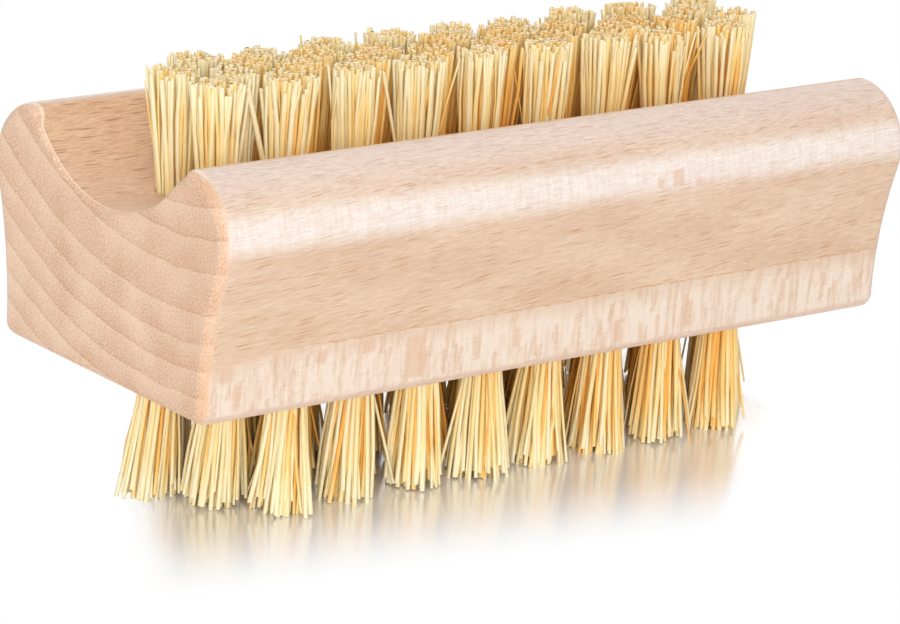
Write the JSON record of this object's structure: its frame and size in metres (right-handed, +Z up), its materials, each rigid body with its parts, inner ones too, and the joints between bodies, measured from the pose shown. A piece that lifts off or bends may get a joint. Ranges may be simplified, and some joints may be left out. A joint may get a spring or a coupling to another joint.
{
  "type": "nail brush",
  "caption": "Double-sided wooden nail brush: a block with a trough and gripping flanks, short plant-fibre tufts in the trough and longer rows under the flat base.",
  "frame": {"origin": "on the ground under the middle of the block, at the tips of the lower tufts", "axes": "+X along the block's length, +Z up through the block towards the upper tufts, the front long side faces -Y"},
  "size_m": [0.095, 0.044, 0.0466],
  "materials": {
    "beech": "sanded and lightly polished",
    "fibre": "raw plant fibre, slightly glossy",
    "anchor_wire": "bright drawn flat wire"
  },
  "bodies": {
    "root": {"block": "beech", "upper_tufts_1": "fibre", "upper_tufts_2": "fibre", "upper_tufts_3": "fibre", "upper_tufts_4": "fibre", "lower_tufts_1": "fibre", "lower_tufts_2": "fibre", "lower_tufts_3": "fibre", "lower_tufts_4": "fibre", "lower_tufts_5": "fibre", "upper_anchors_1": "anchor_wire", "upper_anchors_2": "anchor_wire", "upper_anchors_3": "anchor_wire", "upper_anchors_4": "anchor_wire", "lower_anchors_1": "anchor_wire", "lower_anchors_2": "anchor_wire", "lower_anchors_3": "anchor_wire", "lower_anchors_4": "anchor_wire", "lower_anchors_5": "anchor_wire"}
  },
  "joints": []
}
